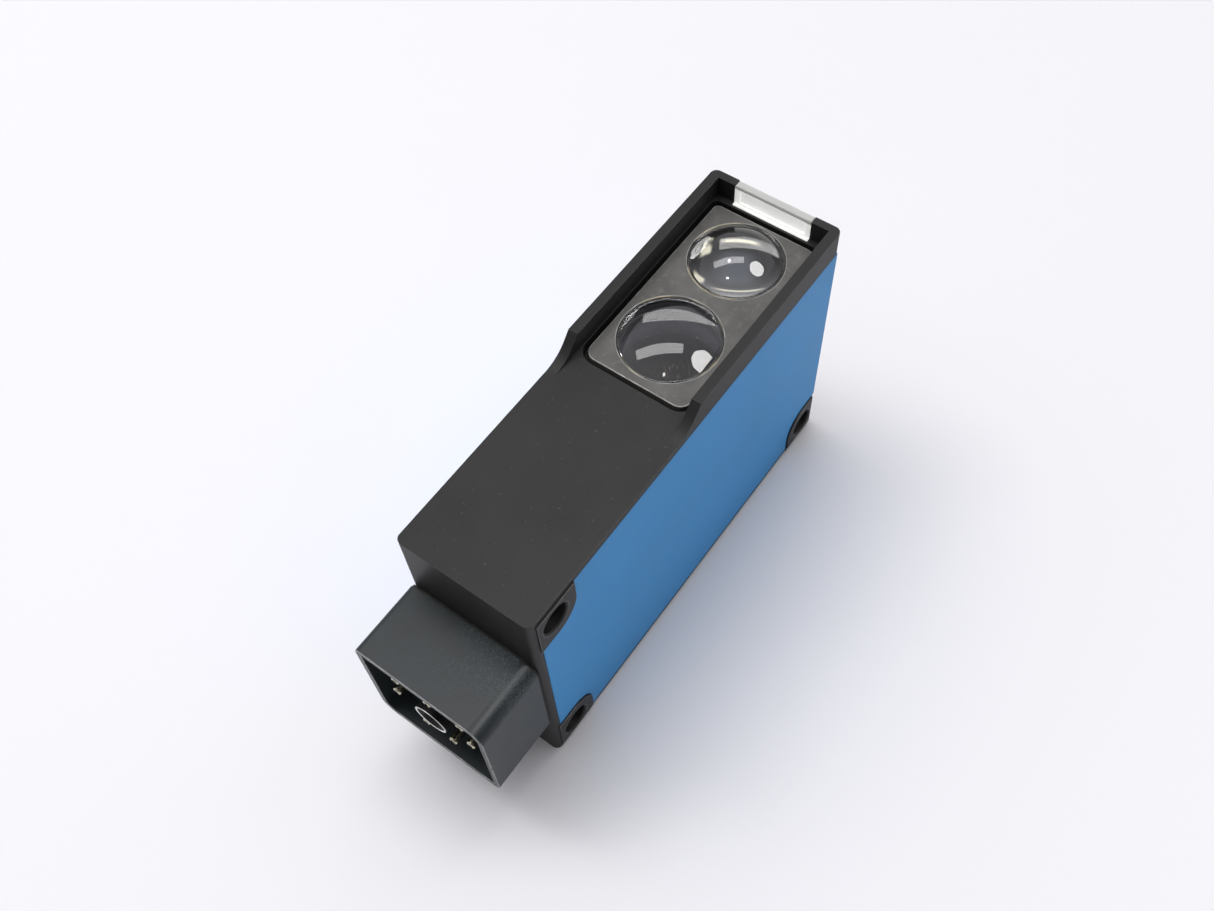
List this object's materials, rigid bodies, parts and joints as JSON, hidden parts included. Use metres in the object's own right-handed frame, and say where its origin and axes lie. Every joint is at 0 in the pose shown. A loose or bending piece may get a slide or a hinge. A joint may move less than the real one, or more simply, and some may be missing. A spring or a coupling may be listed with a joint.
{
  "type": "photoelectric sensor",
  "caption": "Block photoelectric sensor lying on its back: hooded domed lenses in a grey plate, blue side covers, indicator window, rectangular pin plug, side screw holes.",
  "frame": {"origin": "centre of the bounding box's bottom face, on the plane of the two back feet", "axes": "+X from the plug to the indicator window, along the longest side; +Y across the width; +Z the way the lenses look"},
  "size_m": [0.0936, 0.0246, 0.054],
  "materials": {
    "housing_black": "fine moulded texture, near black",
    "cover_blue": "matt moulded, mid blue",
    "plate_grey": "smooth, dark grey",
    "seal_black": "matt",
    "lens_clear": "polished",
    "window_white": "translucent, satin",
    "shroud_black": "satin, rubbed",
    "insert_black": "matt",
    "bush_metal": "nickel plated",
    "contact_metal": "plated, polished",
    "board_green": "solder mask",
    "chip_black": "moulded",
    "capacitor_can": "satin",
    "screw_steel": "zinc plated",
    "carrier_black": "matt, light absorbing",
    "holder_white": "moulded",
    "led_clear": "clear epoxy",
    "carriage_grey": "moulded",
    "diode_dark": "filter epoxy",
    "rod_steel": "ground",
    "spindle_brass": "turned",
    "oring_black": "matt",
    "switch_white": "moulded",
    "lamp_green": "tinted epoxy",
    "lamp_yellow": "tinted epoxy"
  },
  "bodies": {
    "sensor": {"housing": "housing_black", "side_cover_left": "cover_blue", "side_cover_right": "cover_blue", "lens_plate": "plate_grey", "lens_plate_seal": "seal_black", "emitter_lens": "lens_clear", "receiver_lens": "lens_clear", "indicator_window": "window_white", "plug_shroud": "shroud_black", "plug_seal": "seal_black", "pin_insert": "insert_black", "screw_bush": "bush_metal", "plug_board": "board_green", "main_board": "board_green", "control_chips": "chip_black", "capacitors": "capacitor_can", "analog_board": "board_green", "board_screws": "screw_steel", "optics_carrier": "carrier_black", "emitter_holder": "holder_white", "emitter_led": "led_clear", "guide_rods": "rod_steel", "spindle_retainer": "screw_steel", "mode_switch_body": "holder_white", "indicator_led_green": "lamp_green", "indicator_led_yellow": "lamp_yellow", "contact_pin_1": "contact_metal", "contact_pin_2": "contact_metal", "contact_pin_3": "contact_metal", "contact_pin_4": "contact_metal", "contact_pin_5": "contact_metal", "contact_pin_6": "contact_metal", "contact_pin_7": "contact_metal"},
    "detector": {"detector_carriage": "carriage_grey", "receiver_diode": "diode_dark"},
    "spindle": {"range_spindle": "spindle_brass", "spindle_oring": "oring_black"},
    "switch": {"mode_switch": "switch_white", "mode_oring": "oring_black"}
  },
  "joints": [
    {"name": "range_spindle_turn", "type": "hinge", "parent": "sensor", "child": "spindle", "pos_m": [0.0468, 0, 0.0175], "axis": [1, 0, 0], "range_deg": [-900, 900]},
    {"name": "detector_slide", "type": "slide", "parent": "sensor", "child": "detector", "axis": [1, 0, 0], "range_m": [-0.00175, 0.00175]},
    {"name": "mode_switch_turn", "type": "hinge", "parent": "sensor", "child": "switch", "pos_m": [0.0468, 0, 0.0265], "axis": [1, 0, 0], "range_deg": [0, 90]}
  ],
  "couplings": [
    {"joint": "detector_slide", "follows": "range_spindle_turn", "m_per_rad": 0.0001114}
  ]
}
